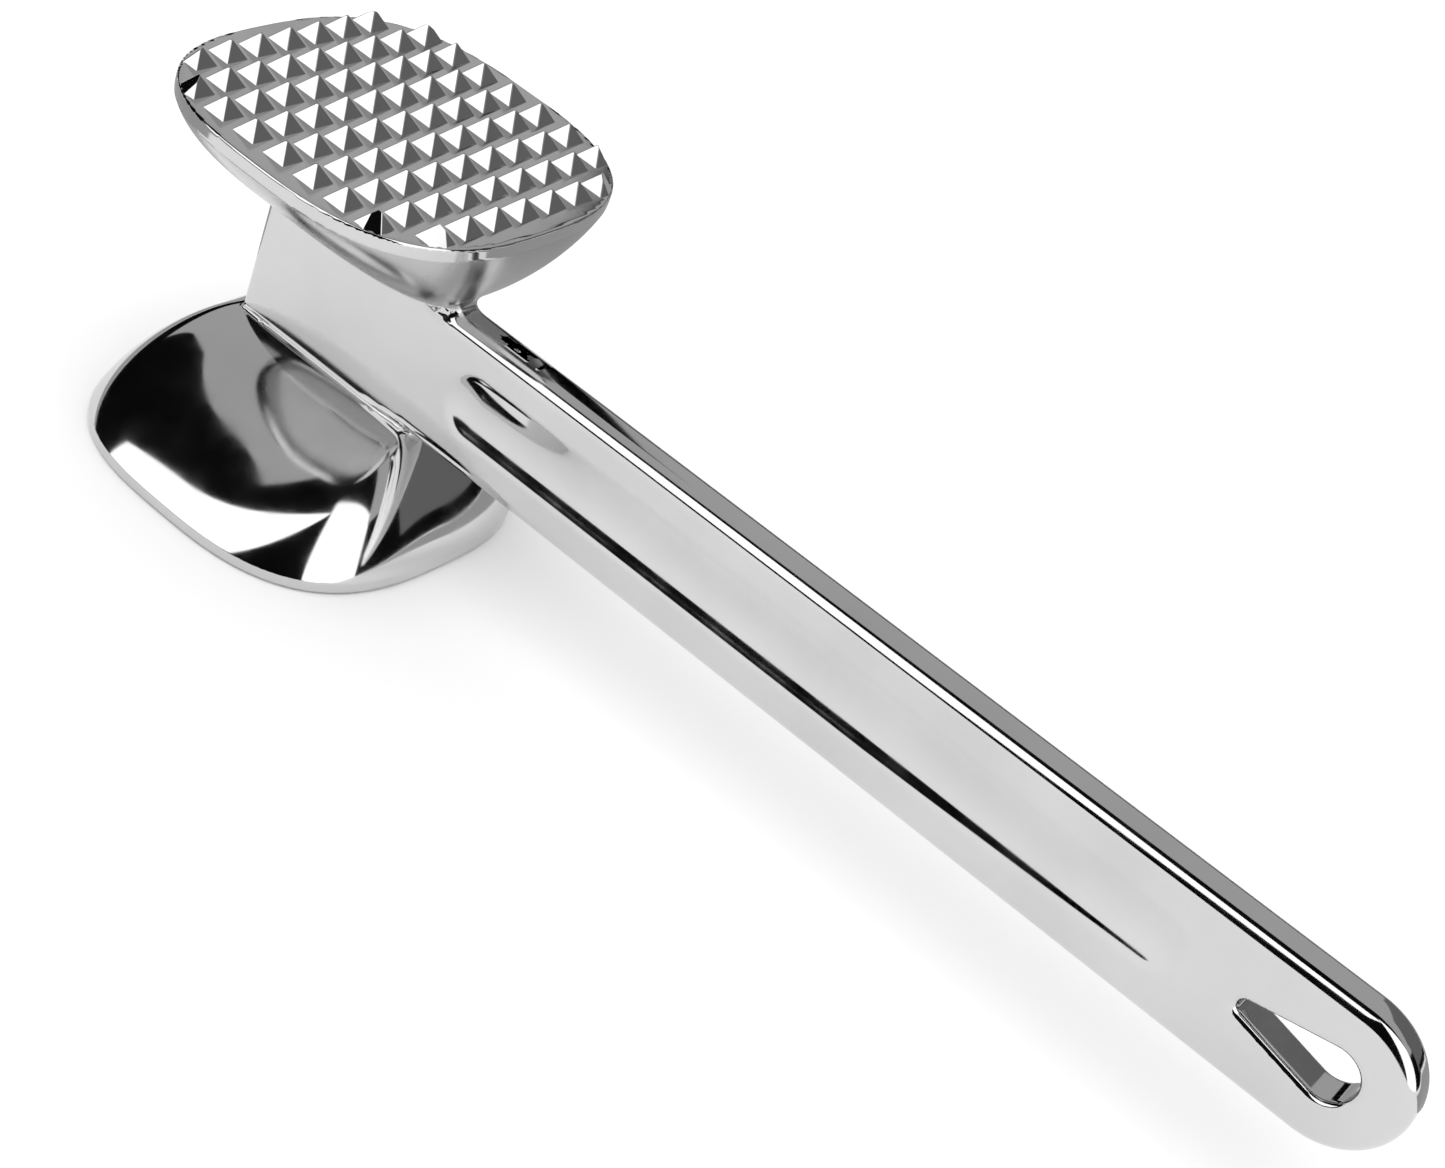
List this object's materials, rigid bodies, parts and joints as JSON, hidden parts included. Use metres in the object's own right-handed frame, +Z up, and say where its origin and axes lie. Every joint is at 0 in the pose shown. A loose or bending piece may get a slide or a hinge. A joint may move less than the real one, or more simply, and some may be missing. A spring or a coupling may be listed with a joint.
{
  "type": "meat mallet",
  "caption": "Cast metal meat mallet: a square toothed head and a smooth head back to back on a flat bar handle with a grip groove and a teardrop hanging hole.",
  "frame": {"origin": "middle of the smooth striking face, which the mallet stands on", "axes": "+X along the handle from the head to the hanging hole, +Y across the flat bar, +Z up from the smooth face to the toothed face"},
  "size_m": [0.2418, 0.0664, 0.0693],
  "materials": {
    "polished_cast_aluminium": "cast in one piece and buffed to a mirror-like polish"
  },
  "bodies": {
    "root": {"toothed_plate": "polished_cast_aluminium", "toothed_back": "polished_cast_aluminium", "smooth_plate": "polished_cast_aluminium", "smooth_back": "polished_cast_aluminium", "web": "polished_cast_aluminium", "handle": "polished_cast_aluminium"}
  },
  "joints": []
}
